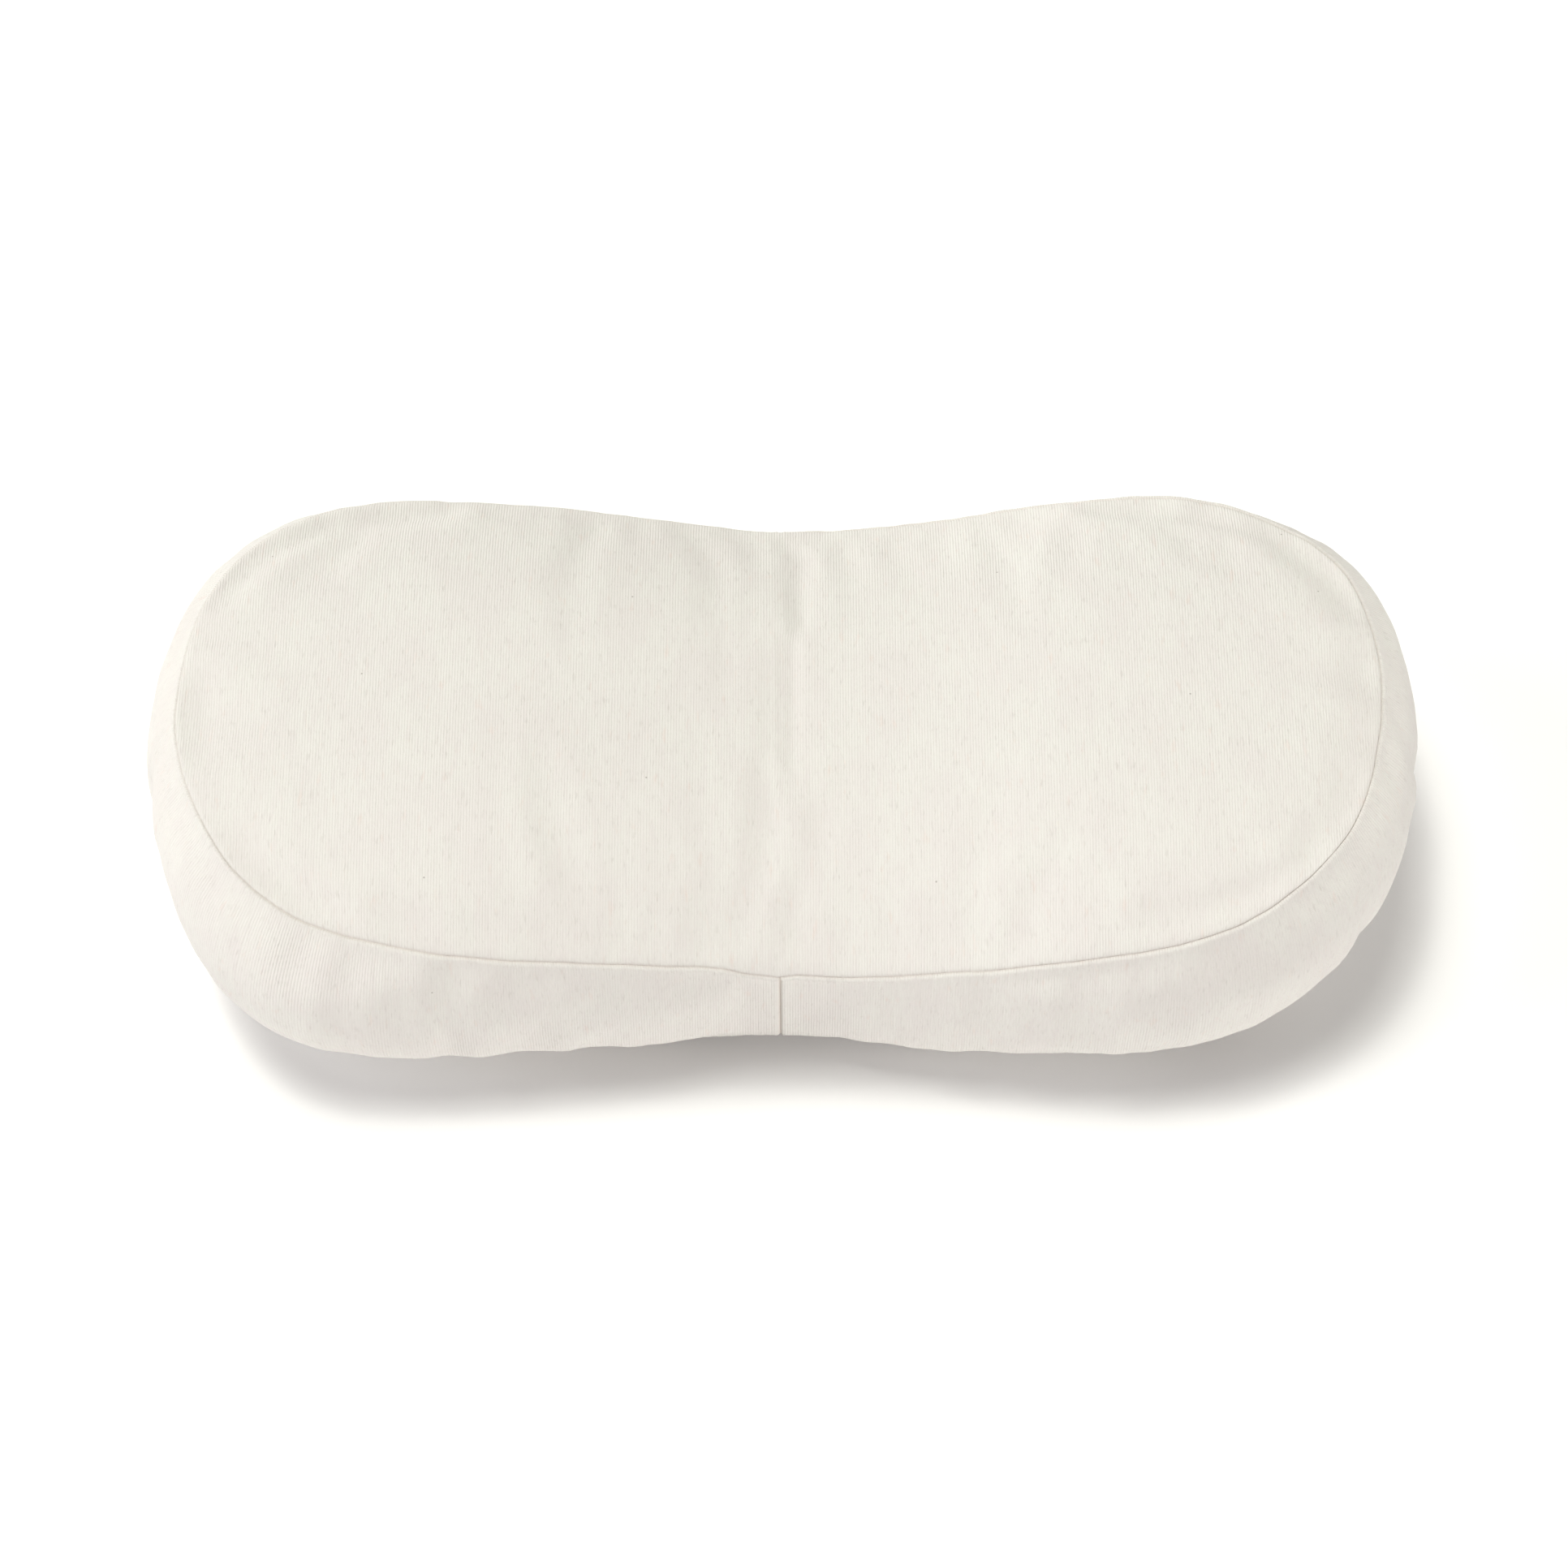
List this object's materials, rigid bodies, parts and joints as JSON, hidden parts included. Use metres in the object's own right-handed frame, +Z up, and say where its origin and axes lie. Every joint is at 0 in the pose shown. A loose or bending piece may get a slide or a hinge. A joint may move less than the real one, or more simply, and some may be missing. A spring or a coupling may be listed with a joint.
{
  "type": "cushion",
  "caption": "Long filled cushion with a peanut outline, a broad crowned top and a plain side band, in pale heathered jersey.",
  "frame": {"origin": "on the resting surface, under the middle of the cushion's box", "axes": "+X along the cushion, +Y to its back, +Z up through its thickness"},
  "size_m": [0.4496, 0.213, 0.1044],
  "materials": {
    "jersey_cover": "heathered off-white knitted jersey, matte"
  },
  "bodies": {
    "root": {"cushion": "jersey_cover"}
  },
  "joints": []
}
